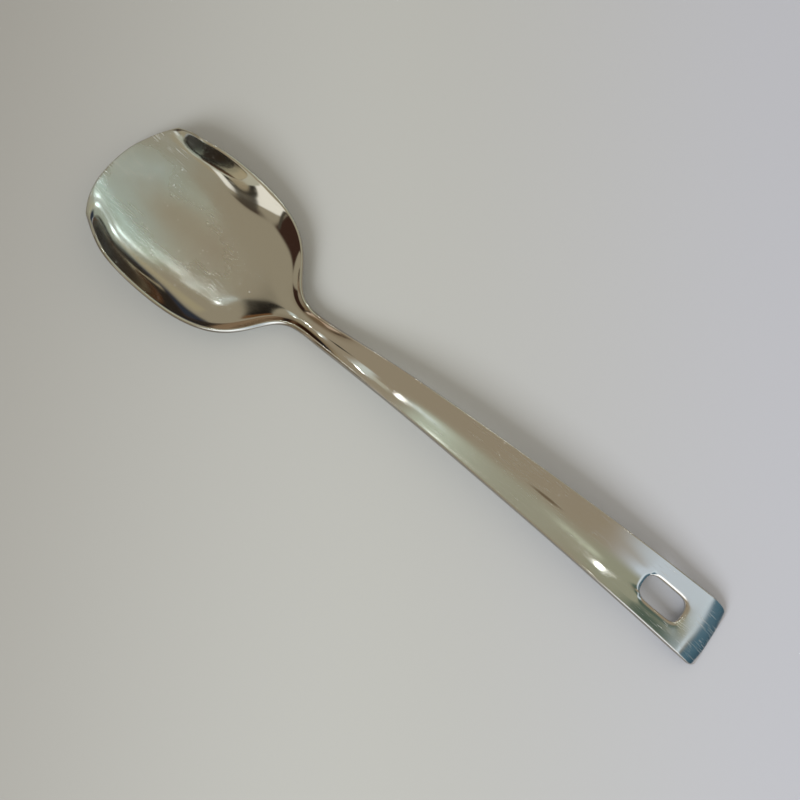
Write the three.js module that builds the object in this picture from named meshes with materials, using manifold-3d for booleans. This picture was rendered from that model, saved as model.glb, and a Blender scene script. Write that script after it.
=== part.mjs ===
// Cooking spoon of polished stainless sheet: a scoop-like bowl with an open, bowed front edge, butt-joined at its
// pinched neck to a long arched handle with a hang slot and a turned-down end lip. Millimetres, +Z up.
// The spoon lies as on a table, on the flat heel of its bowl and on the tip of its lip, front edge towards -X.
// The origin is on the table, under the middle of the spoon's length.

import * as THREE from 'three';
import { mergeVertices } from 'three/addons/utils/BufferGeometryUtils.js';
import Module from 'manifold-3d';

// Overall length, from the middle of the front edge to the tip of the lip.
const SPOON_LENGTH = 290;

// Bowl, seen from above. Distances "at" are measured from the front edge.
const BOWL_WIDTH = 63.7;
const BOWL_WIDEST_AT = 44.5;
const FRONT_WIDTH = 49.4; // across the two front corners
const FRONT_BOW = 9.2; // how far the corners sit behind the tip of the front edge
const FRONT_FULLNESS = 2.5; // how squarely the front edge runs out to its corners
const CORNER_FLARE = 0.38; // sideways run of the outline per unit of length, just behind a corner
const FRONT_WEAR = 3.4; // how far the front edge has worn over to one side
const FRONT_WEAR_LENGTH = 15;
const FRONT_SKEW = 1.5; // how far back one front corner lies, and how far forward the other
const FRONT_FLOOR = 0.8; // share of the way to the worn side's rim that the floor stays level, near the front
const FRONT_FLOOR_LENGTH = 52;

// Bowl, seen from the side. Heights are above the table.
const FRONT_HEIGHT = 8.2; // middle of the front edge
const CORNER_HEIGHT = 12;
const RIM_HEIGHT = 15.4;
const RIM_CREST_AT = 22;
const FLOOR_FALL = 0.15; // slope of the floor at the front edge
const HEEL_AT = 50; // front end of the flat heel that the bowl stands on
const HEEL_LENGTH = 12;
const HEEL_WIDTH = 19;
const WALL_POWER = 3.1; // how sharply the walls turn up from the floor
const BOWL_SHEET = 1.5;

// Neck, where the bowl and the handle meet.
const NECK_AT = 97;
const NECK_WIDTH = 10.2;
const NECK_HEIGHT = 7.6; // of its two edges
const NECK_DEPTH = 2.2; // of the channel between them
const NECK_FADE = 28; // length over which the channel fades into the handle's hollow

// Handle.
const HANDLE_SHEET = 2;
const HANDLE_END_WIDTH = 26.5;
const HANDLE_HOLLOW = 1.1; // depth of the shallow hollow along its top
const ARCH_AT = 169;
const ARCH_HEIGHT = 14.6;

// Lip at the end of the handle. Its tip touches the table.
const LIP_FALL = THREE.MathUtils.degToRad(9.8); // slope of the handle where the lip starts
const LIP_BEND = THREE.MathUtils.degToRad(25);
const LIP_RADIUS = 22.1;
const LIP_CORNER = 4;

// Hang slot.
const SLOT_LENGTH = 18.8;
const SLOT_WIDTH = 9.5;
const SLOT_CORNER = 3.4;
const SLOT_FROM_LIP = 7; // metal left between the slot and the start of the lip

// Fineness of the facets.
const FRONT_STEPS = 12;
const REAR_STEPS = 20;
const HANDLE_STEPS = 26;
const LIP_STEPS = 5;
const CORNER_STEPS = 5;
const ACROSS = [0, 0.16, 0.3, 0.44, 0.57, 0.69, 0.79, 0.87, 0.94, 1]; // from the middle line to the edge
const EDGE_ANGLES = [Math.PI / 4, Math.PI / 2, 3 * Math.PI / 4]; // round edge, from the top face to the bottom one
const CUT_CURVE_STEPS = 6;
const CUT_DEPTH = 20;

const { lerp, smoothstep } = THREE.MathUtils;

// A smooth line through knots { at, value, slope, before, after }: the slope is that of the line at the knot, and
// before and after are how far it is held, as shares of the spans on either side. Gives the value at a distance.
function smoothLine(knots) {
  const spans = knots.slice(1).map((end, i) => {
    const start = knots[i];
    const span = end.at - start.at;
    const out = start.after * span;
    const back = end.before * span;
    return new THREE.CubicBezierCurve(
      new THREE.Vector2(start.at, start.value),
      new THREE.Vector2(start.at + out, start.value + out * start.slope),
      new THREE.Vector2(end.at - back, end.value - back * end.slope),
      new THREE.Vector2(end.at, end.value),
    );
  });
  return {
    spans,
    valueAt(distance) {
      const span = spans.find((curve) => distance <= curve.v3.x) ?? spans.at(-1);
      let low = 0;
      let high = 1;
      while (high - low > 1e-9) {
        const middle = (low + high) / 2;
        if (span.getPoint(middle).x < distance) low = middle;
        else high = middle;
      }
      return span.getPoint(high).y;
    },
  };
}

// Lip: it starts where its bend, at the set radius, brings the tip to the spoon's length and down to the table.
const lipLength = LIP_RADIUS * (Math.sin(LIP_FALL + LIP_BEND) - Math.sin(LIP_FALL));
const lipAt = SPOON_LENGTH - lipLength;
const lipHeight = LIP_RADIUS * Math.cos(LIP_FALL) - (LIP_RADIUS - HANDLE_SHEET) * Math.cos(LIP_FALL + LIP_BEND);

// Half-width of the outline, and heights of its edge and of the bowl's middle line, along the spoon.
const handleTaper = (HANDLE_END_WIDTH - NECK_WIDTH) / 2 / (lipAt - NECK_AT);
const sideLine = smoothLine([
  { at: FRONT_BOW, value: FRONT_WIDTH / 2, slope: CORNER_FLARE, after: 0.35 },
  { at: BOWL_WIDEST_AT, value: BOWL_WIDTH / 2, slope: 0, before: 0.45, after: 0.83 },
  { at: NECK_AT, value: NECK_WIDTH / 2, slope: 0, before: 0.42, after: 0.04 },
  { at: lipAt, value: HANDLE_END_WIDTH / 2, slope: handleTaper * 0.9, before: 0.7 },
]);
const edgeLine = smoothLine([
  { at: FRONT_BOW, value: CORNER_HEIGHT, slope: 0.35, after: 0.35 },
  { at: RIM_CREST_AT, value: RIM_HEIGHT, slope: 0, before: 0.5, after: 0.2 },
  { at: NECK_AT, value: NECK_HEIGHT, slope: 0, before: 0.45, after: 0.2 },
  { at: ARCH_AT, value: ARCH_HEIGHT, slope: 0, before: 0.58, after: 0.35 },
  { at: lipAt, value: lipHeight + HANDLE_HOLLOW, slope: -Math.tan(LIP_FALL), before: 0.35 },
]);
const floorLine = smoothLine([
  { at: 0, value: FRONT_HEIGHT, slope: -FLOOR_FALL, after: 0.45 },
  { at: HEEL_AT, value: BOWL_SHEET, slope: 0, before: 0.3, after: 0.3 },
  { at: HEEL_AT + HEEL_LENGTH, value: BOWL_SHEET, slope: 0, before: 0.3, after: 0.4 },
  { at: NECK_AT, value: NECK_HEIGHT - NECK_DEPTH, slope: 0, before: 0.4 },
]);

// One cross-section as a closed loop of points: the left edge, the top face, the right edge, the bottom face.
// The top point at a share of the half-width comes from topAt, and the sheet lies below it, in the plane of up and Y.
function section(topAt, up, sheet) {
  const shares = [...ACROSS.slice(1).reverse().map((share) => -share), ...ACROSS];
  const step = 1e-4;
  const across = new THREE.Vector3(0, 1, 0);
  const faces = shares.map((share) => {
    const top = topAt(share);
    const run = topAt(share + step).sub(topAt(share - step));
    const slope = Math.atan2(run.dot(up), run.dot(across));
    const normal = up.clone().multiplyScalar(Math.cos(slope)).addScaledVector(across, -Math.sin(slope));
    const outward = across.clone().multiplyScalar(Math.cos(slope)).addScaledVector(up, Math.sin(slope));
    return { top, normal, outward, bottom: top.clone().addScaledVector(normal, -sheet) };
  });
  const edge = ({ top, normal, outward }, side) => EDGE_ANGLES.map((angle) => top.clone()
    .addScaledVector(normal, (Math.cos(angle) - 1) * sheet / 2)
    .addScaledVector(outward, side * Math.sin(angle) * sheet / 2));
  const [lowerLeft, left, upperLeft] = edge(faces[0], -1).reverse();
  const right = edge(faces.at(-1), 1);
  return [
    left, upperLeft, ...faces.map((face) => face.top), ...right,
    ...faces.map((face) => face.bottom).reverse(), lowerLeft,
  ];
}

// Cross-section of the bowl or of the handle, at a distance measured along its edge. The front edge is bowed, so in
// the front of the bowl the middle of a section lies further forward than its ends. The sheet may be squeezed to a
// share of its thickness and moved forward, to round the front edge.
function crossSection(at, squeeze = 1, forward = 0) {
  const heelEnd = HEEL_AT + HEEL_LENGTH;
  const toNeck = smoothstep(at, heelEnd, NECK_AT);
  const fromNeck = smoothstep(at, NECK_AT, NECK_AT + NECK_FADE);
  const sheet = lerp(BOWL_SHEET, HANDLE_SHEET, toNeck);
  const bow = (FRONT_BOW - BOWL_SHEET / 2) * (1 - smoothstep(at, FRONT_BOW, BOWL_WIDEST_AT));
  const middle = at - bow;
  const edgeHeight = edgeLine.valueAt(at);
  const floorHeight = at < NECK_AT
    ? floorLine.valueAt(middle)
    : edgeHeight - lerp(NECK_DEPTH, HANDLE_HOLLOW, fromNeck);
  const flat = HEEL_WIDTH / BOWL_WIDTH * (1 - toNeck);
  const power = lerp(2, WALL_POWER, smoothstep(at, FRONT_BOW, RIM_CREST_AT) - smoothstep(at, RIM_CREST_AT, heelEnd));
  const reach = sideLine.valueAt(at);
  const edgeSlope = Math.atan((edgeHeight - floorHeight) * power / (1 - flat) / reach);
  const halfWidth = reach - sheet / 2 * (1 + Math.sin(edgeSlope));
  const worn = 1 - smoothstep(at, FRONT_BOW, FRONT_BOW + FRONT_WEAR_LENGTH);
  const levelled = smoothstep(at, 0, RIM_CREST_AT) * (1 - smoothstep(at, FRONT_BOW, FRONT_BOW + FRONT_FLOOR_LENGTH));
  const wornFlat = lerp(flat, FRONT_FLOOR, levelled);
  const topAt = (share) => {
    const level = share > 0 ? wornFlat : flat;
    const rise = Math.max(0, (Math.abs(share) - level) / (1 - level)) ** power;
    return new THREE.Vector3(
      middle + bow * Math.abs(share) ** FRONT_FULLNESS + FRONT_SKEW * share * worn - forward,
      halfWidth * share + FRONT_WEAR * worn,
      lerp(floorHeight, edgeHeight, rise) - sheet / 2 * (1 - squeeze),
    );
  };
  return section(topAt, new THREE.Vector3(0, 0, 1), sheet * squeeze);
}

// Cross-section of the lip, after a share of its bend. It leans over with the bend, its hollow fades out, and its
// outer corners are round.
function lipSection(share) {
  const angle = LIP_FALL + LIP_BEND * share;
  const pivot = new THREE.Vector2(
    lipAt - LIP_RADIUS * Math.sin(LIP_FALL),
    lipHeight - LIP_RADIUS * Math.cos(LIP_FALL),
  );
  const lean = (LIP_FALL + LIP_BEND) * share;
  const up = new THREE.Vector3(Math.sin(lean), 0, Math.cos(lean));
  const intoCorner = Math.max(0, LIP_CORNER - LIP_RADIUS * LIP_BEND * (1 - share));
  const cornerLoss = LIP_CORNER - Math.sqrt(LIP_CORNER ** 2 - intoCorner ** 2);
  const halfWidth = HANDLE_END_WIDTH / 2 - HANDLE_SHEET / 2 - cornerLoss;
  const middle = new THREE.Vector3(
    pivot.x + LIP_RADIUS * Math.sin(angle),
    0,
    pivot.y + LIP_RADIUS * Math.cos(angle),
  );
  const topAt = (across) => middle.clone()
    .addScaledVector(up, HANDLE_HOLLOW * (1 - share) * across ** 2)
    .setY(halfWidth * across);
  return section(topAt, up, HANDLE_SHEET);
}

// A closed skin over a row of cross-sections, with both ends capped.
function skin(sections) {
  const count = sections[0].length;
  const positions = sections.flat().flatMap((point) => point.toArray());
  const indices = [];
  for (let row = 0; row < sections.length - 1; row += 1) {
    for (let i = 0; i < count; i += 1) {
      const a = row * count + i;
      const b = row * count + (i + 1) % count;
      indices.push(a, a + count, b, b, a + count, b + count);
    }
  }
  const cap = (first, flip) => {
    for (let k = 0; k < count / 2; k += 1) {
      const corners = [k, k + 1, count - k - 1, (count - k) % count].map((i) => first + i);
      const [a, b, c, d] = flip ? corners.reverse() : corners;
      if (a !== b && b !== c) indices.push(a, b, c);
      if (c !== d && d !== a && a !== c) indices.push(a, c, d);
    }
  };
  cap(0, false);
  cap((sections.length - 1) * count, true);
  const geometry = new THREE.BufferGeometry();
  geometry.setAttribute('position', new THREE.Float32BufferAttribute(positions, 3));
  geometry.setIndex(indices);
  return geometry;
}

// Distances along a stretch of the outline, spaced as its curve runs.
function stations(span, steps) {
  return Array.from({ length: steps + 1 }, (_, i) => span.getPoint(i / steps).x);
}

const wasm = await Module();
wasm.setup();

function toSolid(geometry) {
  const merged = geometry.clone();
  merged.deleteAttribute('normal');
  merged.deleteAttribute('uv');
  const welded = mergeVertices(merged, 1e-5);
  return new wasm.Manifold(new wasm.Mesh({
    numProp: 3,
    vertProperties: new Float32Array(welded.attributes.position.array),
    triVerts: new Uint32Array(welded.index.array),
  }));
}

function toGeometry(solid) {
  const { vertProperties, triVerts } = solid.getMesh();
  const geometry = new THREE.BufferGeometry();
  geometry.setAttribute('position', new THREE.Float32BufferAttribute(vertProperties, 3));
  geometry.setIndex([...triVerts]);
  return geometry;
}

function bowlGeometry() {
  const [front, rear] = sideLine.spans;
  const rows = [...stations(front, FRONT_STEPS), ...stations(rear, REAR_STEPS).slice(1)];
  const nose = [0.95, 0.65].map((share) => (
    crossSection(FRONT_BOW, Math.sqrt(1 - share ** 2), share * BOWL_SHEET / 2)
  ));
  return skin([...nose, ...rows.map((at) => crossSection(at))]);
}

// The hang slot's cutter: a round-cornered block, square to the handle where the slot is.
function slotCutter() {
  const slotAt = lipAt - SLOT_FROM_LIP - SLOT_LENGTH / 2;
  const halfLength = SLOT_LENGTH / 2;
  const halfWidth = SLOT_WIDTH / 2;
  const outline = new THREE.Shape();
  outline.absarc(halfLength - SLOT_CORNER, halfWidth - SLOT_CORNER, SLOT_CORNER, 0, Math.PI / 2);
  outline.absarc(SLOT_CORNER - halfLength, halfWidth - SLOT_CORNER, SLOT_CORNER, Math.PI / 2, Math.PI);
  outline.absarc(SLOT_CORNER - halfLength, SLOT_CORNER - halfWidth, SLOT_CORNER, Math.PI, 3 * Math.PI / 2);
  outline.absarc(halfLength - SLOT_CORNER, SLOT_CORNER - halfWidth, SLOT_CORNER, 3 * Math.PI / 2, 2 * Math.PI);
  const block = new THREE.ExtrudeGeometry(outline, {
    depth: CUT_DEPTH, bevelEnabled: false, curveSegments: CUT_CURVE_STEPS,
  });
  block.translate(0, 0, -CUT_DEPTH / 2);
  const ahead = edgeLine.valueAt(slotAt + halfLength);
  const behind = edgeLine.valueAt(slotAt - halfLength);
  block.rotateY(Math.atan2(behind - ahead, SLOT_LENGTH));
  block.translate(slotAt, 0, edgeLine.valueAt(slotAt) - HANDLE_HOLLOW);
  return block;
}

function handleGeometry() {
  const rows = stations(sideLine.spans[2], HANDLE_STEPS).slice(0, -1);
  const cornerShare = LIP_CORNER / (LIP_RADIUS * LIP_BEND);
  const bends = Array.from({ length: LIP_STEPS }, (_, i) => (1 - cornerShare) * i / LIP_STEPS);
  const corners = Array.from({ length: CORNER_STEPS + 1 }, (_, i) => (
    1 - cornerShare * (1 - Math.sin(i / (CORNER_STEPS + 1) * Math.PI / 2))
  ));
  const sections = [
    ...rows.map((at) => crossSection(at)),
    ...[...bends, ...corners, 1].map((share) => lipSection(share)),
  ];
  return toGeometry(toSolid(skin(sections)).subtract(toSolid(slotCutter())));
}

const bowl = new THREE.Mesh(
  bowlGeometry(),
  new THREE.MeshStandardMaterial({ color: 0xb9b5a8, roughness: 0.22, metalness: 1 }),
);
bowl.name = 'bowl';

const handle = new THREE.Mesh(
  handleGeometry(),
  new THREE.MeshStandardMaterial({ color: 0xb4b0a2, roughness: 0.2, metalness: 1 }),
);
handle.name = 'handle';

const spoon = new THREE.Group();
spoon.add(bowl, handle);
spoon.position.x = -SPOON_LENGTH / 2;

export default spoon;
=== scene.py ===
"""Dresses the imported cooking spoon: one pressed sheet of steel, cut at its neck into bowl and handle."""

from __future__ import annotations

import logging
import math
from collections.abc import Iterable, Iterator
from contextlib import contextmanager
from dataclasses import dataclass, field
from enum import Enum

import bmesh
import bpy
from mathutils import Matrix, Vector

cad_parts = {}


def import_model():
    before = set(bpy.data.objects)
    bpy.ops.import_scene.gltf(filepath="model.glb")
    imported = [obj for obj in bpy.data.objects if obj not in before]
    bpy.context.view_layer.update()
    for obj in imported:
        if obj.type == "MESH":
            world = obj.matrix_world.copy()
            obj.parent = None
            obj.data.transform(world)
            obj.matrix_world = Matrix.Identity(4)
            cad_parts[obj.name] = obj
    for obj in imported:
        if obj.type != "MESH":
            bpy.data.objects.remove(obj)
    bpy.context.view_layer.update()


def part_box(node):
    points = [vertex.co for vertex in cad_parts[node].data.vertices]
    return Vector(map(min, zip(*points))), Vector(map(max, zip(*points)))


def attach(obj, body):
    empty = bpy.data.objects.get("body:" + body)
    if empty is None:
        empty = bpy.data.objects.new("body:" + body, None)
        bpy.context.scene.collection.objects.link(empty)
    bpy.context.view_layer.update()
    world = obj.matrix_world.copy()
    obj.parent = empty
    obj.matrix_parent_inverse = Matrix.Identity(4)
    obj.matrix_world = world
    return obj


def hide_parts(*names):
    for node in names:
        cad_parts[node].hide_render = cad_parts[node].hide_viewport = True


log = logging.getLogger("cooking_spoon")

HALVINGS = 40
GRID_DIGITS = 5
JOIN_DIGITS = 7

Triple = tuple[float, float, float]
Rgba = tuple[float, float, float, float]
Fade = tuple[float, float]
Wire = bpy.types.NodeSocket


def lerp(start: float, end: float, share: float) -> float:
    """Returns the value that lies at a share of the way from start to end."""
    return start + (end - start) * share


def smoothstep(value: float, start: float, end: float) -> float:
    """Returns a soft step from 0 at start to 1 at end."""
    share = min(1.0, max(0.0, (value - start) / (end - start)))
    return share * share * (3.0 - 2.0 * share)


def spread(start: float, end: float, count: int) -> list[float]:
    """Returns count values evenly spread over a span, without its start."""
    return [lerp(start, end, step / count) for step in range(1, count + 1)]


@dataclass(frozen=True)
class Knot:
    """One point of a drawn line, with its slope and the reach of its two curve handles."""

    at: float
    value: float
    slope: float = 0.0
    before: float = 0.35
    after: float = 0.35


@dataclass(frozen=True)
class DrawnLine:
    """A smooth line through knots, with one cubic curve between each two of them."""

    knots: tuple[Knot, ...]

    def value(self, at: float) -> float:
        """Reads the line.

        Args:
            at: Distance from the spoon's front edge.

        Returns:
            The line's value there, held level past both ends.
        """
        if at <= self.knots[0].at:
            return self.knots[0].value
        for start, end in zip(self.knots, self.knots[1:]):
            if at <= end.at:
                return self._between(start, end, at)
        return self.knots[-1].value

    @staticmethod
    def _between(start: Knot, end: Knot, at: float) -> float:
        """Finds the curve's value between two knots by halving.

        Args:
            start: Knot before the place.
            end: Knot after the place.
            at: Distance from the spoon's front edge.

        Returns:
            The curve's value there.
        """
        span = end.at - start.at

        def curve(share: float, corners: tuple[float, ...]) -> float:
            """Returns a cubic curve's value at a share of its run."""
            rest = 1.0 - share
            weights = (rest**3, 3 * rest * rest * share, 3 * rest * share * share, share**3)
            return sum(weight * corner for weight, corner in zip(weights, corners))

        along = (start.at, start.at + start.after * span, end.at - end.before * span, end.at)
        low, high = 0.0, 1.0
        for _ in range(HALVINGS):
            middle = (low + high) / 2
            if curve(middle, along) < at:
                low = middle
            else:
                high = middle
        values = (
            start.value,
            start.value + start.after * span * start.slope,
            end.value - end.before * span * end.slope,
            end.value,
        )
        return curve(low, values)


@dataclass(frozen=True)
class Station:
    """One row of the sheet's top face, from rim to rim, and the sheet's thickness there."""

    points: tuple[Vector, ...]
    sheet: float


@dataclass
class SpoonForm:
    """The pressed form of the spoon's top face.

    Lengths are in metres. A value whose name ends in at is measured from the front edge.
    """

    front: float
    length: float = 0.29
    bowl_width: float = 0.0637
    bowl_widest_at: float = 0.0445
    front_width: float = 0.0494
    front_bow: float = 0.0092
    front_fullness: float = 2.5
    corner_flare: float = 0.38
    front_wear: float = 0.0034
    front_wear_length: float = 0.015
    front_skew: float = 0.0015
    front_floor: float = 0.8
    front_floor_length: float = 0.052
    front_height: float = 0.0082
    corner_height: float = 0.012
    corner_rise: float = 0.35
    rim_height: float = 0.0154
    rim_crest_at: float = 0.022
    floor_fall: float = 0.15
    heel_at: float = 0.05
    heel_length: float = 0.012
    heel_width: float = 0.019
    floor_power: float = 2.0
    wall_power: float = 3.1
    bowl_sheet: float = 0.0015
    neck_at: float = 0.097
    neck_width: float = 0.0102
    neck_height: float = 0.0076
    neck_depth: float = 0.0022
    neck_fade: float = 0.028
    handle_sheet: float = 0.002
    handle_end_width: float = 0.0265
    handle_end_taper: float = 0.9
    handle_hollow: float = 0.0011
    arch_at: float = 0.169
    arch_height: float = 0.0146
    lip_fall: float = math.radians(9.8)
    lip_bend: float = math.radians(25)
    lip_radius: float = 0.0221
    lip_corner: float = 0.004
    lip_corner_cut: float = 0.7
    lip_inset: float = 0.0002
    slot_length: float = 0.0188
    slot_width: float = 0.0095
    slot_corner: float = 0.0034
    slot_from_lip: float = 0.007
    slot_fit_from: float = 0.035
    slot_fit_to: float = 0.003
    rim_band: float = 0.0007
    rim_round: float = 0.0002
    slot_band: float = 0.0016
    slot_coining: float = 0.0006
    column_shares: tuple[float, ...] = (0.0, 0.15, 0.3, 0.44, 0.57, 0.69, 0.8, 0.9)
    slot_columns: int = 4
    side_line: DrawnLine = field(init=False)
    edge_line: DrawnLine = field(init=False)
    floor_line: DrawnLine = field(init=False)

    def __post_init__(self) -> None:
        """Draws the three lines that the form is pressed to."""
        lip_rise = math.tan(self.lip_fall)
        taper = (self.handle_end_width - self.neck_width) / 2 / (self.lip_at - self.neck_at)
        self.side_line = DrawnLine((
            Knot(self.front_bow, self.front_width / 2, self.corner_flare),
            Knot(self.bowl_widest_at, self.bowl_width / 2, before=0.45, after=0.83),
            Knot(self.neck_at, self.neck_width / 2, before=0.42, after=0.04),
            Knot(self.lip_at, self.handle_end_width / 2, taper * self.handle_end_taper, before=0.7),
        ))
        self.edge_line = DrawnLine((
            Knot(self.front_bow, self.corner_height, self.corner_rise),
            Knot(self.rim_crest_at, self.rim_height, before=0.5, after=0.2),
            Knot(self.neck_at, self.neck_height, before=0.45, after=0.2),
            Knot(self.arch_at, self.arch_height, before=0.58),
            Knot(self.lip_at, self.lip_height + self.handle_hollow, -lip_rise),
        ))
        self.floor_line = DrawnLine((
            Knot(0.0, self.front_height, -self.floor_fall, after=0.45),
            Knot(self.heel_at, self.bowl_sheet, before=0.3, after=0.3),
            Knot(self.heel_at + self.heel_length, self.bowl_sheet, before=0.3, after=0.4),
            Knot(self.neck_at, self.neck_height - self.neck_depth, before=0.4),
        ))

    @property
    def lip_at(self) -> float:
        """Where the end lip starts to bend down."""
        run = math.sin(self.lip_fall + self.lip_bend) - math.sin(self.lip_fall)
        return self.length - self.lip_radius * run

    @property
    def lip_height(self) -> float:
        """Height of the handle's middle where the lip starts, with the lip's tip on the table."""
        tip = (self.lip_radius - self.handle_sheet) * math.cos(self.lip_fall + self.lip_bend)
        return self.lip_radius * math.cos(self.lip_fall) - tip

    @property
    def slot_ends(self) -> tuple[float, float]:
        """Where the hang slot starts and ends."""
        end = self.lip_at - self.slot_from_lip
        return end - self.slot_length, end

    def _columns(self, at: float, half: float) -> list[float]:
        """Places the columns of one row.

        Args:
            at: Distance from the front edge.
            half: Half the width of the row's top face.

        Returns:
            Offsets from the middle to the rim, the last but one a band's width inside it.
        """
        inner = half - self.rim_band
        even = [inner * share for share in self.column_shares]
        slot_start = self.slot_ends[0]
        near_slot = smoothstep(at, slot_start - self.slot_fit_from, slot_start - self.slot_fit_to)
        slot_half = self.slot_width / 2
        last = len(self.column_shares)
        fitted = []
        for index in range(last):
            if index <= self.slot_columns:
                fitted.append(slot_half * index / self.slot_columns)
            else:
                outer = slot_half + self.slot_band
                share = (index - self.slot_columns - 1) / (last - self.slot_columns - 1)
                fitted.append(lerp(outer, inner, share))
        return [lerp(a, b, near_slot) for a, b in zip(even, fitted)] + [inner, half]

    def _across(self, at: float, half: float) -> list[float]:
        """Returns the offsets of a whole row, from one rim to the other."""
        right = self._columns(at, half)
        return [-offset for offset in reversed(right[1:])] + right

    def station(self, at: float) -> Station:
        """Presses one row of the bowl or handle.

        Args:
            at: Distance of the row's rim from the front edge.

        Returns:
            The row, in the part's frame.
        """
        heel_end = self.heel_at + self.heel_length
        to_neck = smoothstep(at, heel_end, self.neck_at)
        from_neck = smoothstep(at, self.neck_at, self.neck_at + self.neck_fade)
        sheet = lerp(self.bowl_sheet, self.handle_sheet, to_neck)
        bow = self.front_bow * (1.0 - smoothstep(at, self.front_bow, self.bowl_widest_at))
        middle = at - bow
        edge = self.edge_line.value(at)
        hollow = lerp(self.neck_depth, self.handle_hollow, from_neck)
        floor = self.floor_line.value(middle) if at < self.neck_at else edge - hollow
        flat = self.heel_width / self.bowl_width * (1.0 - to_neck)
        walled = smoothstep(at, self.front_bow, self.rim_crest_at)
        walled -= smoothstep(at, self.rim_crest_at, heel_end)
        power = lerp(self.floor_power, self.wall_power, walled)
        reach = self.side_line.value(at)
        lean = math.atan((edge - floor) * power / (1.0 - flat) / reach)
        half = reach - sheet * math.sin(lean) + self.rim_round
        worn = 1.0 - smoothstep(at, self.front_bow, self.front_bow + self.front_wear_length)
        levelled = smoothstep(at, 0.0, self.rim_crest_at)
        levelled *= 1.0 - smoothstep(at, self.front_bow, self.front_bow + self.front_floor_length)
        points = []
        for offset in self._across(at, half):
            share = offset / half
            level = lerp(flat, self.front_floor, levelled) if share > 0 else flat
            rise = max(0.0, (abs(share) - level) / (1.0 - level)) ** power
            along = middle + bow * abs(share) ** self.front_fullness + self.front_skew * share * worn
            aside = offset + self.front_wear * worn
            points.append(Vector((self.front + along, aside, lerp(floor, edge, rise))))
        return Station(tuple(points), sheet)

    def lip_station(self, share: float) -> Station:
        """Presses one row of the turned-down end lip.

        Args:
            share: 0 where the bend starts and 1 at the lip's tip.

        Returns:
            The row, in the part's frame.
        """
        angle = self.lip_fall + self.lip_bend * share
        lean = (self.lip_fall + self.lip_bend) * share
        left = self.lip_radius * self.lip_bend * (1.0 - share)
        into_corner = max(0.0, self.lip_corner - left)
        shave = self.lip_corner - math.sqrt(self.lip_corner**2 - into_corner**2)
        half = self.handle_end_width / 2 - shave * self.lip_corner_cut - self.lip_inset
        run = self.lip_at + self.lip_radius * (math.sin(angle) - math.sin(self.lip_fall))
        height = self.lip_height + self.lip_radius * (math.cos(angle) - math.cos(self.lip_fall))
        points = []
        for offset in self._across(self.lip_at, half):
            lift = self.handle_hollow * (1.0 - share) * (offset / half) ** 2
            along = run + lift * math.sin(lean)
            points.append(Vector((self.front + along, offset, height + lift * math.cos(lean))))
        return Station(tuple(points), self.handle_sheet)


def deselect_all() -> None:
    """Leaves edit mode and deselects every object."""
    if bpy.context.object is not None and bpy.context.object.mode != "OBJECT":
        bpy.ops.object.mode_set(mode="OBJECT")
    bpy.ops.object.select_all(action="DESELECT")


def make_active(piece: bpy.types.Object) -> None:
    """Selects one piece alone and makes it active."""
    deselect_all()
    piece.select_set(True)
    bpy.context.view_layer.objects.active = piece


@contextmanager
def editing(piece: bpy.types.Object) -> Iterator[bmesh.types.BMesh]:
    """Opens a piece in edit mode with nothing selected, and closes it again.

    Args:
        piece: Mesh object to edit.

    Yields:
        The mesh being edited, good until the first operator runs on it.
    """
    make_active(piece)
    bpy.ops.object.mode_set(mode="EDIT")
    bpy.ops.mesh.select_mode(type="VERT")
    bpy.ops.mesh.select_all(action="DESELECT")
    yield bmesh.from_edit_mesh(piece.data)
    bpy.ops.object.mode_set(mode="OBJECT")


def pick(piece: bpy.types.Object, chosen: Iterable[int]) -> None:
    """Selects these vertices of a piece in edit mode, and no others.

    Args:
        piece: Mesh object in edit mode.
        chosen: The vertices' numbers.
    """
    mesh = bmesh.from_edit_mesh(piece.data)
    mesh.verts.ensure_lookup_table()
    for vert in mesh.verts:
        vert.select = False
    for number in chosen:
        mesh.verts[number].select = True
    mesh.select_flush_mode()


def finish_with(piece: bpy.types.Object, kind: str, **settings: object) -> None:
    """Adds a modifier to a piece and applies it.

    Args:
        piece: Mesh object to finish.
        kind: Modifier type.
        **settings: Values of the modifier's properties.
    """
    make_active(piece)
    bpy.ops.object.modifier_add(type=kind)
    modifier = piece.modifiers[-1]
    for name, value in settings.items():
        setattr(modifier, name, value)
    bpy.ops.object.modifier_apply(modifier=modifier.name)


class Side(Enum):
    """Which side of the neck join a piece of the sheet lies on."""

    FRONT = "bowl"
    REAR = "handle"


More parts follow.
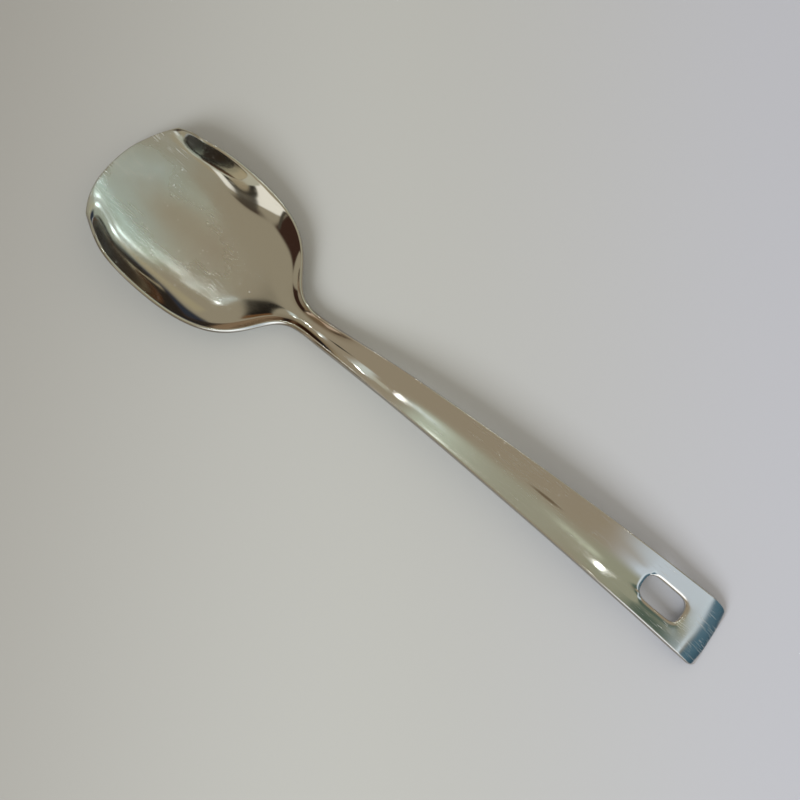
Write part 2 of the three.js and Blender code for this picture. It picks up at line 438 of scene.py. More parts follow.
@dataclass
class SpoonSheet:
    """The whole spoon as one pressed sheet, before it is parted at the neck."""

    form: SpoonForm
    bowl_rows: int = 24
    neck_rows: int = 8
    neck_before: float = 0.018
    neck_after: float = 0.016
    handle_rows: int = 14
    slot_rows: int = 8
    lip_shares: tuple[float, ...] = (0.0, 0.25, 0.5, 0.7, 0.82, 0.92, 0.98, 1.0)
    smoothing: int = 2
    thickness_group: str = "sheet"
    piece: bpy.types.Object = field(init=False)

    def _row_places(self) -> list[float]:
        """Returns where the rows lie from the front edge to the start of the lip."""
        form = self.form
        slot_start, slot_end = form.slot_ends
        neck_from = form.neck_at - self.neck_before
        neck_to = form.neck_at + self.neck_after
        return [
            form.front_bow,
            form.front_bow + form.rim_band,
            *spread(form.front_bow + form.rim_band, neck_from, self.bowl_rows),
            *spread(neck_from, form.neck_at, self.neck_rows),
            *spread(form.neck_at, neck_to, self.neck_rows - 1),
            *spread(neck_to, slot_start - form.slot_band, self.handle_rows),
            slot_start,
            *spread(slot_start, slot_end, self.slot_rows),
            slot_end + form.slot_band,
            lerp(slot_end + form.slot_band, form.lip_at, 0.5),
        ]

    def _stations(self) -> list[Station]:
        """Returns every row of the sheet, front edge first."""
        rows = [self.form.station(at) for at in self._row_places()]
        return rows + [self.form.lip_station(share) for share in self.lip_shares]

    def build(self) -> bpy.types.Object:
        """Models the sheet.

        Returns:
            The finished sheet, one closed mesh.
        """
        stations = self._stations()
        columns = len(stations[0].points)
        deselect_all()
        bpy.ops.mesh.primitive_grid_add(
            x_subdivisions=len(stations) - 1, y_subdivisions=columns - 1, size=2.0
        )
        self.piece = bpy.context.object
        self.piece.name = "spoon_sheet"
        self._press(stations, columns)
        self._punch_slot(stations)
        finish_with(
            self.piece,
            "SOLIDIFY",
            thickness=self.form.handle_sheet,
            offset=-1.0,
            use_even_offset=True,
            vertex_group=self.thickness_group,
        )
        finish_with(self.piece, "SUBSURF", levels=self.smoothing, render_levels=self.smoothing)
        make_active(self.piece)
        bpy.ops.object.shade_smooth()
        return self.piece

    def _score(self, join: float) -> None:
        """Scores the sheet along the join, so that both halves get the same points there."""
        with editing(self.piece):
            bpy.ops.mesh.select_all(action="SELECT")
            bpy.ops.mesh.bisect(plane_co=(join, 0.0, 0.0), plane_no=(1.0, 0.0, 0.0))

    def _press(self, stations: list[Station], columns: int) -> None:
        """Moves a flat grid, row by row, to the pressed form, and gives each row its thickness.

        Args:
            stations: The rows to press to.
            columns: Number of points across the sheet.
        """
        make_active(self.piece)
        bpy.ops.object.vertex_group_add()
        self.piece.vertex_groups.active.name = self.thickness_group
        flat = [vert.co.copy() for vert in self.piece.data.vertices]

        def row_and_column(number: int) -> tuple[float, float]:
            """Returns what sorts the grid's points by row, and by column within it."""
            return round(flat[number].x, GRID_DIGITS), round(flat[number].y, GRID_DIGITS)

        ordered = sorted(range(len(flat)), key=row_and_column)
        rows = [ordered[start:start + columns] for start in range(0, len(ordered), columns)]
        with editing(self.piece):
            for row, station in zip(rows, stations):
                for number, point in zip(row, station.points):
                    pick(self.piece, (number,))
                    bpy.ops.transform.translate(value=point - flat[number])
            for row, station in zip(rows, stations):
                pick(self.piece, row)
                weight = station.sheet / self.form.handle_sheet
                bpy.context.scene.tool_settings.vertex_group_weight = weight
                bpy.ops.object.vertex_group_assign()

    def _punch_slot(self, stations: list[Station]) -> None:
        """Opens the hang slot, rounds its corners and coins its edge.

        Args:
            stations: The pressed rows.
        """
        form = self.form
        first = self._row_places().index(form.slot_ends[0])
        last = first + self.slot_rows
        column = len(stations[first].points) // 2
        start = stations[first].points[column].x
        end = stations[last].points[column].x
        half = form.slot_width / 2
        with editing(self.piece) as mesh:
            bpy.ops.mesh.select_mode(type="FACE")
            for face in mesh.faces:
                centre = face.calc_center_median()
                face.select = start < centre.x < end and abs(centre.y) < half
            bpy.ops.mesh.delete(type="FACE")
        with editing(self.piece) as mesh:
            places = [vert.co.copy() for vert in mesh.verts]
            edge = [
                vert.index
                for vert in mesh.verts
                if vert.is_boundary and self._near(vert.co, start, end, half)
            ]
            for margin in (0.0, form.slot_band):
                self._round_corners(places, start, end, margin)
            pick(self.piece, edge)
            bpy.ops.transform.translate(value=(0.0, 0.0, -form.slot_coining))

    def _round_corners(self, places: list[Vector], start: float, end: float, margin: float) -> None:
        """Moves the points at the corners of the slot, or of a band around it, onto arcs.

        Args:
            places: Where the sheet's points lie, by number.
            start: Place of the slot's front end along the spoon.
            end: Place of its rear end.
            margin: Width of the band, 0 at the slot itself.
        """
        middle = (start + end) / 2
        long = (end - start) / 2 + margin
        wide = self.form.slot_width / 2 + margin
        radius = self.form.slot_corner + margin
        small = 1e-5
        for number, place in enumerate(places):
            out = Vector((abs(place.x - middle) - long, abs(place.y) - wide))
            if max(out) > small or max(out) < -small or min(out) < -radius:
                continue
            arm = out + Vector((radius, radius))
            step = arm.normalized() * radius - arm
            along = math.copysign(step.x, step.x * (place.x - middle))
            aside = math.copysign(step.y, step.y * place.y)
            pick(self.piece, (number,))
            bpy.ops.transform.translate(value=(along, aside, 0.0))

    @staticmethod
    def _near(place: Vector, start: float, end: float, half: float) -> bool:
        """Tells whether a place lies on the slot's edge."""
        margin = 0.0003
        return start - margin < place.x < end + margin and abs(place.y) < half + margin

    def part_at(self, join: float, side: Side) -> bpy.types.Object:
        """Cuts one side of the sheet off at the neck and closes the cut.

        Args:
            join: The join's place along the spoon.
            side: The side that is kept.

        Returns:
            The kept side, with the whole sheet's shading.
        """
        self._score(join)
        facing = {self._key(vert.co): vert.normal.copy() for vert in self.piece.data.vertices}
        kept = self.piece.copy()
        kept.data = self.piece.data.copy()
        kept.name = f"spoon_{side.value}"
        kept.data.name = kept.name
        bpy.context.scene.collection.objects.link(kept)
        with editing(kept):
            bpy.ops.mesh.select_all(action="SELECT")
            bpy.ops.mesh.bisect(
                plane_co=(join, 0.0, 0.0),
                plane_no=(1.0, 0.0, 0.0),
                use_fill=True,
                clear_outer=side is Side.FRONT,
                clear_inner=side is Side.REAR,
            )
        normals = [facing.get(self._key(vert.co), vert.normal) for vert in kept.data.vertices]
        kept.data.normals_split_custom_set_from_vertices(normals)
        return kept

    @staticmethod
    def _key(place: Vector) -> Triple:
        """Returns a place, rounded so that both halves have the same key for the same point."""
        return tuple(round(value, JOIN_DIGITS) for value in place)


@dataclass(frozen=True)
class Area:
    """A soft-edged place on the steel, in metres."""

    centre: Triple
    reach: Triple


@dataclass(frozen=True)
class SteelFinish:
    """A polished steel with its haze, its grain and its marks of use, and painted reflection and painted
    shade in its colour.

    Each fade takes a mask from 0 to 1. It reads how far the surface faces up, which is 1 where it lies
    level and 0 where it stands upright.
    """

    name: str
    tone: Triple
    polish: float
    haze: float
    hazy: Area
    # Painted reflection: a tint and its area, standing in for light that the steel mirrors there.
    reflection_tint: Triple
    reflection_tinted: Area
    stain: Triple
    stained: Area
    scuffs: float
    scuffed: Area
    # Darker colour of the duller cut edges; on the rim's outward rounding the same colour is painted
    # shade.
    cut: Triple
    grain_scale: Triple
    grain_depth: float
    marks: float
    specks: float
    # Painted reflection: a brown tint on the neck's leaning walls stands in for the dark brown that the
    # neck mirrors.
    neck_reflection_tint: Triple = (0.34, 0.26, 0.19)
    neck_reflection_tinted: Area = Area(centre=(-0.044, 0.000, 0.008), reach=(0.020, 0.012, 0.02))
    chalk: Triple = (0.90, 0.90, 0.87)
    chalk_cover: float = 0.8
    chalk_roughness: float = 0.35
    scuff_roughness: float = 0.35
    cut_roughness: float = 0.2
    mark_roughness: float = 0.25
    grain_roughness: float = 0.10
    grain_height: float = 0.6
    cut_fade: Fade = (0.36, 0.14)
    # Painted shade: the fade that picks the rim's outward rounding for darkening.
    rim_shade_fade: Fade = (0.90, 0.60)
    under_fade: Fade = (-0.20, 0.0)
    leaning_fade: Fade = (0.97, 0.84)


BOWL_STEEL = SteelFinish(
    name="bowl_steel",
    # Partly painted reflection: the bowl's tone is greener than the handle's, standing in for the greenish
    # light that the bowl mirrors.
    tone=(0.73, 0.74, 0.70),
    polish=0.05,
    haze=0.32,
    hazy=Area(centre=(-0.111, -0.001, 0.006), reach=(0.050, 0.0255, 0.03)),
    # Painted reflection: a green-blue tint over the bowl's front stands in for the greenish light that its
    # floor mirrors.
    reflection_tint=(0.76, 0.87, 0.91),
    reflection_tinted=Area(centre=(-0.132, 0.000, 0.006), reach=(0.026, 0.040, 0.03)),
    stain=(0.66, 0.62, 0.55),
    stained=Area(centre=(-0.108, 0.002, 0.004), reach=(0.030, 0.010, 0.02)),
    scuffs=0.5,
    scuffed=Area(centre=(-0.137, 0.011, 0.010), reach=(0.014, 0.024, 0.03)),
    cut=(0.36, 0.34, 0.31),
    grain_scale=(60.0, 1500.0, 300.0),
    grain_depth=0.0000006,
    marks=0.28,
    specks=0.9,
)
HANDLE_STEEL = SteelFinish(
    name="handle_steel",
    tone=(0.74, 0.72, 0.68),
    polish=0.045,
    haze=0.18,
    hazy=Area(centre=(0.042, 0.0, 0.013), reach=(0.055, 0.030, 0.05)),
    # Painted reflection: a lighter tint in a narrow band along the handle's near half stands in for the
    # pale band that it mirrors.
    reflection_tint=(0.76, 0.76, 0.74),
    reflection_tinted=Area(centre=(0.000, -0.006, 0.013), reach=(0.040, 0.004, 0.03)),
    stain=(0.34, 0.28, 0.22),
    stained=Area(centre=(0.0610, 0.0015, 0.013), reach=(0.0085, 0.0006, 0.02)),
    scuffs=0.45,
    scuffed=Area(centre=(0.134, 0.004, 0.006), reach=(0.022, 0.020, 0.03)),
    cut=(0.42, 0.40, 0.37),
    grain_scale=(25.0, 1100.0, 300.0),
    grain_depth=0.0000010,
    marks=0.6,
    specks=0.25,
)


class Wiring:
    """Adds nodes to one node tree and links them."""

    def __init__(self, tree: bpy.types.NodeTree) -> None:
        """Takes the tree to wire and empties it."""
        self.tree = tree
        tree.nodes.clear()

    def node(
        self, kind: str, inputs: dict[str | int, object] | None = None, **settings: object
    ) -> bpy.types.Node:
        """Adds one node.

        Args:
            kind: Node type.
            inputs: Values or output sockets for its inputs.
            **settings: Values of the node's properties.

        Returns:
            The new node.
        """
        node = self.tree.nodes.new(kind)
        for name, value in settings.items():
            setattr(node, name, value)
        for key, value in (inputs or {}).items():
            if isinstance(value, Wire):
                self.tree.links.new(value, node.inputs[key])
            else:
                node.inputs[key].default_value = value
        return node

    def math(self, operation: str, first: object, second: object = 0.0, clamp: bool = False) -> Wire:
        """Returns the outcome of one sum on two values or sockets."""
        node = self.node("ShaderNodeMath", {0: first, 1: second}, operation=operation, use_clamp=clamp)
        return node.outputs[0]

    def vector(self, operation: str, first: object, second: object = (0.0, 0.0, 0.0)) -> Wire:
        """Returns the outcome of one sum on two vectors."""
        return self.node("ShaderNodeVectorMath", {0: first, 1: second}, operation=operation).outputs[0]

    def ramp(self, value: object, low: object, high: object) -> Wire:
        """Returns a soft step of a value, 0 at low and 1 at high."""
        inputs = {"Value": value, "From Min": low, "From Max": high}
        return self.node("ShaderNodeMapRange", inputs, interpolation_type="SMOOTHSTEP").outputs[0]

    def mix(self, share: object, first: object, second: object) -> Wire:
        """Returns a colour between two colours."""
        return self.node("ShaderNodeMix", {0: share, 6: first, 7: second}, data_type="RGBA").outputs[2]

    def noise(self, place: Wire, scale: float, detail: float = 2.0) -> Wire:
        """Returns even noise between 0 and 1."""
        inputs = {"Vector": place, "Scale": scale, "Detail": detail}
        return self.node("ShaderNodeTexNoise", inputs).outputs[0]


class Socket(Enum):
    """Kinds of socket on a node group."""

    VALUE = "NodeSocketFloat"
    PLACE = "NodeSocketVector"
    COLOUR = "NodeSocketColor"


class Effect:
    """A node group that several trees use, built at its first use."""

    name: str
    takes: dict[str, Socket]
    gives: dict[str, Socket]

    def place(self, wiring: Wiring, inputs: dict[str, object]) -> bpy.types.Node:
        """Places the group in a tree.

        Args:
            wiring: The tree that uses the group.
            inputs: Values or output sockets for the group's inputs.

        Returns:
            The group's node.
        """
        tree = bpy.data.node_groups.get(self.name) or self._build()
        return wiring.node("ShaderNodeGroup", inputs, node_tree=tree)

    def _build(self) -> bpy.types.NodeTree:
        """Returns the new group, with its sockets and nodes."""
        tree = bpy.data.node_groups.new(self.name, "ShaderNodeTree")
        for side, sockets in (("INPUT", self.takes), ("OUTPUT", self.gives)):
            for name, kind in sockets.items():
                tree.interface.new_socket(name, in_out=side, socket_type=kind.value)
        wiring = Wiring(tree)
        given = wiring.node("NodeGroupInput")
        wiring.node("NodeGroupOutput", self.wire(wiring, given.outputs))
        return tree

    def wire(self, wiring: Wiring, given: bpy.types.NodeOutputs) -> dict[str, Wire]:
        """Wires the group's inside.

        Args:
            wiring: The group's tree.
            given: The group's inputs.

        Returns:
            A socket for each output.
        """
        raise NotImplementedError


class SoftArea(Effect):
    """A soft-edged, slightly uneven area around a centre: 1 inside it and 0 outside."""

    name = "soft_area"
    takes = {"Place": Socket.PLACE, "Centre": Socket.PLACE, "Reach": Socket.PLACE}
    gives = {"Area": Socket.VALUE}
    noise_scale = 90.0
    detail = 3.0
    unevenness = 0.5
    fade = (1.25, 0.15)

    def wire(self, wiring: Wiring, given: bpy.types.NodeOutputs) -> dict[str, Wire]:
        """Measures the distance in reaches, and lets noise push the edge in and out."""
        away = wiring.vector("SUBTRACT", given["Place"], given["Centre"])
        away = wiring.vector("DIVIDE", away, given["Reach"])
        length = wiring.node("ShaderNodeVectorMath", {0: away}, operation="LENGTH").outputs["Value"]
        swing = wiring.math("SUBTRACT", wiring.noise(given["Place"], self.noise_scale, self.detail), 0.5)
        push = wiring.math("MULTIPLY", swing, self.unevenness)
        return {"Area": wiring.ramp(wiring.math("ADD", length, push), *self.fade)}


class BrushedGrain(Effect):
    """Fine parallel grain left by the polishing wheel."""

    name = "brushed_grain"
    takes = {"Place": Socket.PLACE, "Scale": Socket.PLACE}
    gives = {"Grain": Socket.VALUE}

    def wire(self, wiring: Wiring, given: bpy.types.NodeOutputs) -> dict[str, Wire]:
        """Stretches noise along the polishing direction."""
        stretched = wiring.vector("MULTIPLY", given["Place"], given["Scale"])
        return {"Grain": wiring.noise(stretched, 1.0, detail=3.0)}


class HairlineMarks(Effect):
    """Thin short scratches in several directions."""

    name = "hairline_marks"
    takes = {"Place": Socket.PLACE}
    gives = {"Marks": Socket.VALUE}
    turns = (0.35, 1.25, 2.3)
    shift = (0.013, 0.021)
    stretch = (120.0, 3200.0, 10.0)
    line_fade = (0.70, 0.76)
    group_scale = 60.0
    group_growth = 20.0
    group_fade = (0.50, 0.60)

    def wire(self, wiring: Wiring, given: bpy.types.NodeOutputs) -> dict[str, Wire]:
        """Lays one set of scratches for each direction and keeps the strongest."""
        marks: Wire | None = None
        for number, turn in enumerate(self.turns):
            mapping = {
                "Vector": given["Place"],
                "Location": (self.shift[0] * number, self.shift[1] * number, 0.0),
                "Rotation": (0.0, 0.0, turn),
                "Scale": self.stretch,
            }
            lines = wiring.noise(wiring.node("ShaderNodeMapping", mapping).outputs[0], 1.0, detail=0.0)
            thin = wiring.ramp(lines, *self.line_fade)
            scale = self.group_scale + self.group_growth * number
            groups = wiring.noise(given["Place"], scale, detail=1.0)
            layer = wiring.math("MULTIPLY", thin, wiring.ramp(groups, *self.group_fade))
            marks = layer if marks is None else wiring.math("MAXIMUM", marks, layer)
        return {"Marks": marks}


class WaterSpecks(Effect):
    """Small dried drops in loose groups."""

    name = "water_specks"
    takes = {"Place": Socket.PLACE}
    gives = {"Specks": Socket.VALUE}
    dot_scale = 620.0
    dot_fade = (0.30, 0.14)
    kept_fade = (0.72, 0.76)
    group_scale = 120.0
    group_fade = (0.54, 0.62)

    def wire(self, wiring: Wiring, given: bpy.types.NodeOutputs) -> dict[str, Wire]:
        """Keeps some of a field of dots, where a slow noise is high."""
        dots = wiring.node("ShaderNodeTexVoronoi", {"Vector": given["Place"], "Scale": self.dot_scale})
        dot = wiring.ramp(dots.outputs["Distance"], *self.dot_fade)
        draw = wiring.node("ShaderNodeSeparateColor", {0: dots.outputs["Color"]}).outputs[0]
        kept = wiring.ramp(draw, *self.kept_fade)
        group = wiring.ramp(wiring.noise(given["Place"], self.group_scale), *self.group_fade)
        return {"Specks": wiring.math("MULTIPLY", wiring.math("MULTIPLY", dot, kept), group)}


class SoftCard(Effect):
    """A soft-edged card of the studio, laid over what is behind it.

    Places are seen from below, as on a plan of the ceiling.
    """

    name = "soft_card"
    takes = {
        "Behind": Socket.COLOUR,
        "Plan": Socket.PLACE,
        "Centre": Socket.PLACE,
        "Half": Socket.PLACE,
        "Turn": Socket.VALUE,
        "Crispness": Socket.VALUE,
        "Tone": Socket.COLOUR,
    }
    gives = {"Colour": Socket.COLOUR}

    def wire(self, wiring: Wiring, given: bpy.types.NodeOutputs) -> dict[str, Wire]:
        """Turns the plan to the card's sides and fades the card at its edges."""
        away = wiring.vector("SUBTRACT", given["Plan"], given["Centre"])
        back = wiring.math("MULTIPLY", given["Turn"], -1.0)
        rotation = {"Vector": away, "Angle": back}
        turned = wiring.node("ShaderNodeVectorRotate", rotation, rotation_type="Z_AXIS").outputs[0]
        inside = wiring.vector("SUBTRACT", given["Half"], wiring.vector("ABSOLUTE", turned))
        sides = wiring.node("ShaderNodeSeparateXYZ", {0: inside}).outputs
        fades = [
            wiring.ramp(wiring.math("MULTIPLY", side, given["Crispness"]), -0.5, 0.5)
            for side in sides[:2]
        ]
        return {"Colour": wiring.mix(wiring.math("MULTIPLY", *fades), given["Behind"], given["Tone"])}


@dataclass(frozen=True)
class Card:
    """One card or lamp that the steel mirrors. Sizes are in degrees on the plan of the ceiling."""

    centre: tuple[float, float]
    half: tuple[float, float]
    soft: float
    tone: Triple
    turn: float = 0.0


STUDIO_BASE = (0.335, 0.285, 0.205, 1.0)
STUDIO_CARDS = (
    # Broad tones of the near side, the end and the lip.
    Card(centre=(6, 58), half=(14, 42), soft=9, tone=(0.36, 0.355, 0.27)),
    Card(centre=(-1, 32), half=(5, 14), soft=7, tone=(0.53, 0.585, 0.465)),
    Card(centre=(40, -2), half=(14, 20), soft=10, tone=(0.62, 0.70, 0.78)),
    Card(centre=(30, 24), half=(9, 10), soft=8, tone=(0.34, 0.35, 0.26)),
    Card(centre=(37, 33), half=(7, 7), soft=6, tone=(0.10, 0.14, 0.11)),
    Card(centre=(50, -38), half=(27, 17), soft=8, tone=(1.6, 1.65, 1.7)),
    Card(centre=(87, 15), half=(38.5, 45), soft=15, tone=(0.085, 0.17, 0.23)),
    Card(centre=(102, 15), half=(26, 45), soft=26, tone=(0.035, 0.085, 0.125)),
    Card(centre=(42.5, 15), half=(3, 30), soft=6, tone=(0.72, 0.84, 0.93)),
    # What the bowl's far wall mirrors.
    Card(centre=(-2, -80), half=(40, 24), soft=8, tone=(0.36, 0.29, 0.19)),
    Card(centre=(-12, -80), half=(8, 7.5), soft=2.5, tone=(0.50, 0.47, 0.37)),
    Card(centre=(-17.2, -62), half=(3.6, 12.5), soft=1.2, tone=(0.96, 0.90, 0.80), turn=21),
    Card(centre=(-46, -39), half=(23, 9.5), soft=4, tone=(0.045, 0.022, 0.015), turn=-22),
    Card(centre=(-24.6, -49), half=(1.4, 9.5), soft=1, tone=(0.07, 0.058, 0.042), turn=6),
    Card(centre=(-21, -67), half=(1.6, 9), soft=1, tone=(0.04, 0.034, 0.026), turn=20),
    # What the neck's shoulder and the near wall mirror.
    Card(centre=(-42.5, 34.3), half=(21, 4.2), soft=3, tone=(0.012, 0.009, 0.007), turn=125),
    Card(centre=(-52, 50), half=(3, 4.5), soft=3, tone=(0.16, 0.075, 0.03), turn=35),
    Card(centre=(-8, 66), half=(16, 5), soft=4, tone=(0.40, 0.34, 0.22)),
    Card(centre=(-27, 84), half=(25, 9), soft=5, tone=(0.030, 0.034, 0.046)),
    # Soft glows.
    Card(centre=(-18.5, 33), half=(5, 4), soft=4, tone=(0.49, 0.47, 0.37)),
    Card(centre=(19.5, 21.6), half=(3.5, 1.6), soft=2.5, tone=(0.60, 0.65, 0.51)),
    Card(centre=(-5, 25), half=(4, 3), soft=4.5, tone=(0.76, 0.86, 0.82)),
    Card(centre=(-22, 31), half=(3, 9.5), soft=5, tone=(0.64, 0.69, 0.65)),
    # Lamps.
    Card(centre=(5.2, 62.5), half=(2.2, 3), soft=2.5, tone=(5.0, 5.2, 5.0)),
    Card(centre=(1.4, 46), half=(1.3, 2.4), soft=2.0, tone=(7.0, 7.2, 6.8)),
    Card(centre=(-21.6, 41), half=(1.3, 0.8), soft=1.0, tone=(10.0, 10.5, 10.5)),
    Card(centre=(-11.1, 29), half=(0.12, 4), soft=0.25, tone=(24.0, 25.0, 25.0)),
    Card(centre=(23.8, 26.5), half=(0.22, 1.3), soft=0.6, tone=(11.0, 11.5, 11.4)),
)
DEEP_CARDS = (
    Card(centre=(22.3, -4.5), half=(3.4, 19), soft=2.5, tone=(0.50, 0.47, 0.36), turn=-18.4),
    Card(centre=(-41, 2), half=(15, 34), soft=8, tone=(0.34, 0.22, 0.14)),
    Card(centre=(1.6, -12), half=(1.8, 32), soft=1.2, tone=(0.62, 0.50, 0.34), turn=-5.6),
)


@dataclass
class Stage:
    """Floor, lamp, studio and camera. None of it is part of the spoon.

    A ray that is mirrored twice or more sees the deep tones, which stand in for the room's dark side.
    """

    floor_size: float = 6.0
    floor_roughness: float = 0.8
    floor_slant: float = 0.7
    # Painted shade darkens the floor on one side, and painted cool light brightens it on the other.
    floor_shade: Rgba = (0.30, 0.295, 0.285, 1.0)
    floor_shade_fade: Fade = (-0.30, 0.0)
    floor_middle: Rgba = (0.50, 0.52, 0.53, 1.0)
    floor_cool_light: Rgba = (0.55, 0.58, 0.69, 1.0)
    floor_cool_light_fade: Fade = (-0.02, 0.24)
    room_light: Rgba = (0.60, 0.55, 0.46, 1.0)
    deep_tone: Rgba = (0.026, 0.018, 0.015, 1.0)
    deep_warm: Rgba = (0.12, 0.05, 0.022, 1.0)
    deep_warm_across: float = 0.45
    deep_warm_fade: Fade = (0.55, 0.10)
    deep_share: float = 0.97
    deep_depth: float = 1.5
    key_size: float = 0.65
    key_energy: float = 15.2
    key_tone: Triple = (0.98, 1.0, 1.0)
    key_place: Triple = (-0.15, -1.12, 0.92)
    sensor: float = 36.0
    clip_start: float = 0.01
    lens: float = 45.0
    aim: Vector = field(default_factory=lambda: Vector((0.0, 0.0, 0.010)))
    distance: float = 0.37361
    offset: tuple[float, float] = (-0.004524, 0.000123)
    lean: float = math.radians(14.811)
    tip: float = math.radians(1.033)
    roll: float = math.radians(38.217)

    def build(self) -> None:
        """Makes the whole stage."""
        bpy.context.scene.view_settings.view_transform = "Standard"
        self._camera()
        self._floor()
        self._lamp()
        self._studio()

    def _camera(self) -> None:
        """Sets the camera at the photograph's angle."""
        camera = bpy.data.cameras.new("camera")
        camera.lens = self.lens
        camera.sensor_width = self.sensor
        camera.clip_start = self.clip_start
        holder = bpy.data.objects.new("camera", camera)
        bpy.context.scene.collection.objects.link(holder)
        turn = Matrix.Rotation(self.tip, 4, "Y") @ Matrix.Rotation(self.lean, 4, "X")
        turn = turn @ Matrix.Rotation(self.roll, 4, "Z")
        place = self.aim + turn.to_3x3() @ Vector((*self.offset, self.distance))
        holder.matrix_world = Matrix.Translation(place) @ turn
        bpy.context.scene.camera = holder

    def _floor(self) -> None:
        """Lays the pale floor, warmer past the bowl's far side than past the handle's near side, with
        painted shade darkening the first side and painted cool light brightening the second.
        """
        deselect_all()
        bpy.ops.mesh.primitive_plane_add(size=self.floor_size)
        floor = bpy.context.object
        floor.name = "floor"
        material = bpy.data.materials.new("floor_paint")
        material.use_nodes = True
        wiring = Wiring(material.node_tree)
        place = wiring.node("ShaderNodeTexCoord").outputs["Object"]
        axes = wiring.node("ShaderNodeSeparateXYZ", {0: place})
        slant = wiring.math("MULTIPLY", axes.outputs[1], self.floor_slant)
        drift = wiring.math("ADD", axes.outputs[0], slant)
        # Painted shade towards one side and painted cool light towards the other.
        left = wiring.ramp(drift, *self.floor_shade_fade)
        right = wiring.ramp(drift, *self.floor_cool_light_fade)
        tone = wiring.mix(left, self.floor_shade, self.floor_middle)
        tone = wiring.mix(right, tone, self.floor_cool_light)
        paint = {"Base Color": tone, "Roughness": self.floor_roughness}
        shader = wiring.node("ShaderNodeBsdfPrincipled", paint)
        wiring.node("ShaderNodeOutputMaterial", {"Surface": shader.outputs[0]})
        floor.data.materials.append(material)

    def _lamp(self) -> None:
        """Hangs the soft key lamp, which the steel mirrors as cards of the studio instead."""
        lamp = bpy.data.lights.new("key", "AREA")
        lamp.size = self.key_size
        lamp.energy = self.key_energy
        lamp.color = self.key_tone
        holder = bpy.data.objects.new("key", lamp)
        bpy.context.scene.collection.objects.link(holder)
        holder.location = Vector(self.key_place)
        holder.rotation_euler = (self.aim - holder.location).to_track_quat("-Z", "Y").to_euler()
        holder.visible_glossy = False

    @staticmethod
    def _lay(wiring: Wiring, plan: Wire, colour: Wire | Rgba, cards: tuple[Card, ...]) -> Wire:
        """Lays cards over a colour, one after another.

        Args:
            wiring: The world's nodes.
            plan: Place of the ray on the plan of the ceiling.
            colour: What is behind the cards.
            cards: The cards, the farthest first.

        Returns:
            The colour with the cards on it.
        """
        for card in cards:
            inputs = {
                "Behind": colour,
                "Plan": plan,
                "Centre": (*(math.radians(value) for value in card.centre), 0.0),
                "Half": (*(math.radians(value) for value in card.half), 0.0),
                "Turn": math.radians(card.turn),
                "Crispness": 1.0 / math.radians(card.soft),
                "Tone": (*card.tone, 1.0),
            }
            colour = SoftCard().place(wiring, inputs).outputs[0]
        return colour

    def _studio(self) -> None:
        """Fills the surroundings with even light, and with the cards for mirrored rays."""
        world = bpy.data.worlds.new("studio")
        bpy.context.scene.world = world
        world.use_nodes = True
        world.cycles.sampling_method = "NONE"
        wiring = Wiring(world.node_tree)
        way = wiring.node("ShaderNodeTexCoord").outputs["Generated"]
        axes = wiring.node("ShaderNodeSeparateXYZ", {0: way}).outputs
        level = wiring.node("ShaderNodeCombineXYZ", {0: axes[0], 1: axes[1]}).outputs[0]
        spoke = {0: wiring.vector("NORMALIZE", level), "Scale": wiring.math("ARCCOSINE", axes[2])}
        plan = wiring.node("ShaderNodeVectorMath", spoke, operation="SCALE").outputs[0]
        path = wiring.node("ShaderNodeLightPath")
        again = wiring.math("GREATER_THAN", path.outputs["Glossy Depth"], self.deep_depth)
        across = wiring.node("ShaderNodeSeparateXYZ", {0: plan}).outputs[1]
        aside = wiring.math("ABSOLUTE", wiring.math("SUBTRACT", across, self.deep_warm_across))
        deep = wiring.mix(wiring.ramp(aside, *self.deep_warm_fade), self.deep_tone, self.deep_warm)
        colour = wiring.mix(
            wiring.math("MULTIPLY", again, self.deep_share),
            self._lay(wiring, plan, STUDIO_BASE, STUDIO_CARDS),
            self._lay(wiring, plan, deep, DEEP_CARDS),
        )
        even = wiring.node("ShaderNodeBackground", {"Color": self.room_light}).outputs[0]
        cards = wiring.node("ShaderNodeBackground", {"Color": colour}).outputs[0]
        mirrored = path.outputs["Is Glossy Ray"]
        seen = wiring.node("ShaderNodeMixShader", {0: mirrored, 1: even, 2: cards})
        wiring.node("ShaderNodeOutputWorld", {"Surface": seen.outputs[0]})


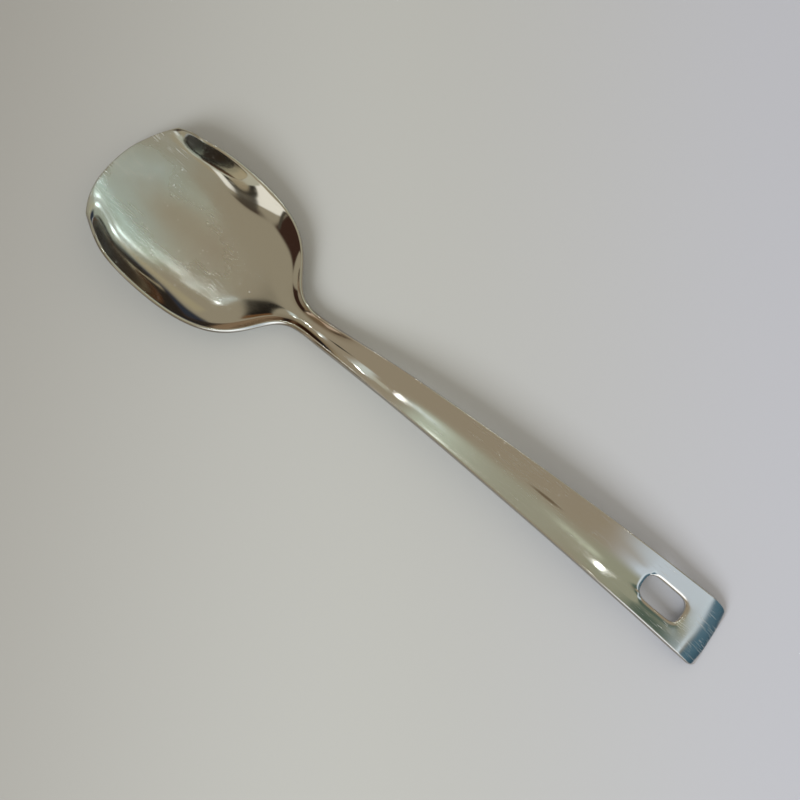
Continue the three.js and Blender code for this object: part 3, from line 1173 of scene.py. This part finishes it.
@dataclass
class SpoonPart:
    """One finished half of the spoon: its side of the sheet, its node and its steel."""

    side: Side
    finish: SteelFinish

    def build(self, sheet: SpoonSheet, join: float) -> bpy.types.Object:
        """Parts this half from the sheet, dresses it and sets it on the frame.

        Args:
            sheet: The whole pressed sheet.
            join: The join's place along the spoon.

        Returns:
            The finished piece.
        """
        piece = sheet.part_at(join, self.side)
        piece.data.materials.clear()
        piece.data.materials.append(self._material())
        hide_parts(self.side.value)
        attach(piece, "root")
        return piece

    def _material(self) -> bpy.types.Material:
        """Returns this half's steel."""
        finish = self.finish
        material = bpy.data.materials.new(finish.name)
        material.use_nodes = True
        wiring = Wiring(material.node_tree)
        place = wiring.node("ShaderNodeTexCoord").outputs["Object"]
        hazy, stained, reflection_tinted, neck_reflection_tinted, scuffed = (
            SoftArea()
            .place(wiring, {"Place": place, "Centre": area.centre, "Reach": area.reach})
            .outputs[0]
            for area in (finish.hazy, finish.stained, finish.reflection_tinted, finish.neck_reflection_tinted, finish.scuffed)
        )
        polishing = {"Place": place, "Scale": finish.grain_scale}
        grain = BrushedGrain().place(wiring, polishing).outputs[0]
        marks = HairlineMarks().place(wiring, {"Place": place}).outputs[0]
        specks = WaterSpecks().place(wiring, {"Place": place}).outputs[0]
        marked = wiring.math("MULTIPLY", marks, finish.marks)
        spots = wiring.math("MULTIPLY", wiring.math("MULTIPLY", specks, hazy), finish.specks)
        scuffs = wiring.math("MULTIPLY", wiring.math("MULTIPLY", marks, scuffed), finish.scuffs)
        chalky = wiring.math("MAXIMUM", spots, scuffs)
        cut, leaning = self._turned(wiring, place)

        tone: Wire | Rgba = (*finish.tone, 1.0)
        # Tints over the steel: the first and the brown neck tint are painted reflections, the edge colour
        # is partly painted shade on the rim, and the stain, specks and scuffs are real marks.
        for share, colour in (
            (reflection_tinted, finish.reflection_tint),
            (stained, finish.stain),
            (chalky, finish.chalk),
            (wiring.math("MULTIPLY", neck_reflection_tinted, leaning), finish.neck_reflection_tint),
            (cut, finish.cut),
        ):
            tone = wiring.mix(share, tone, (*colour, 1.0))
        metal = wiring.math("SUBTRACT", 1.0, wiring.math("MULTIPLY", chalky, finish.chalk_cover))

        rough = wiring.math("MULTIPLY_ADD", hazy, finish.haze - finish.polish)
        rough.node.inputs[2].default_value = finish.polish
        uneven = wiring.math("MULTIPLY", wiring.math("SUBTRACT", grain, 0.5), finish.grain_roughness)
        for share, amount in (
            (uneven, hazy),
            (marked, finish.mark_roughness),
            (cut, finish.cut_roughness),
            (scuffed, finish.scuffs * finish.scuff_roughness),
            (chalky, finish.chalk_roughness),
        ):
            rough = wiring.math("ADD", rough, wiring.math("MULTIPLY", share, amount), clamp=True)

        worn = wiring.math("MULTIPLY", grain, wiring.math("MULTIPLY", hazy, hazy))
        height = wiring.math("SUBTRACT", wiring.math("MULTIPLY", worn, finish.grain_height), marked)
        relief = {"Strength": 1.0, "Distance": finish.grain_depth, "Height": height}
        normal = wiring.node("ShaderNodeBump", relief).outputs[0]
        shader = wiring.node(
            "ShaderNodeBsdfPrincipled",
            {"Base Color": tone, "Metallic": metal, "Roughness": rough, "Normal": normal},
        )
        wiring.node("ShaderNodeOutputMaterial", {"Surface": shader.outputs[0]})
        return material

    def _turned(self, wiring: Wiring, place: Wire) -> tuple[Wire, Wire]:
        """Finds cut edges and leaning walls by the way that the surface faces.

        Args:
            wiring: The material's nodes.
            place: Place on the piece.

        Returns:
            Two masks: the cut edges with the rim's outward rounding, which is painted shade, and the
                leaning walls.
        """
        finish = self.finish
        normal = wiring.node("ShaderNodeNewGeometry").outputs["Normal"]
        facing = wiring.node("ShaderNodeSeparateXYZ", {0: normal}).outputs
        sideways = wiring.node("ShaderNodeSeparateXYZ", {0: place}).outputs[1]
        outward = wiring.math("GREATER_THAN", wiring.math("MULTIPLY", facing[1], sideways), 0.0)
        above = wiring.ramp(facing[2], *finish.under_fade)
        rounded = wiring.math("MULTIPLY", wiring.ramp(facing[2], *finish.rim_shade_fade), above)
        upright = wiring.ramp(wiring.math("ABSOLUTE", facing[2]), *finish.cut_fade)
        # Cut edges are duller steel; the rim's outward rounding is painted shade, darkened where it would
        # mirror the bright floor.
        cut = wiring.math("MAXIMUM", upright, wiring.math("MULTIPLY", rounded, outward))
        return cut, wiring.ramp(facing[2], *finish.leaning_fade)


def main() -> None:
    """Builds the stage and the spoon."""
    logging.basicConfig(level=logging.INFO, format="%(name)s: %(message)s")
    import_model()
    Stage().build()
    lowest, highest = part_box("bowl")
    sheet = SpoonSheet(SpoonForm(front=lowest.x))
    whole = sheet.build()
    for part in (SpoonPart(Side.FRONT, BOWL_STEEL), SpoonPart(Side.REAR, HANDLE_STEEL)):
        piece = part.build(sheet, highest.x)
        log.info("%s: %d faces", piece.name, len(piece.data.polygons))
    bpy.data.objects.remove(whole)


if __name__ == "__main__":
    main()
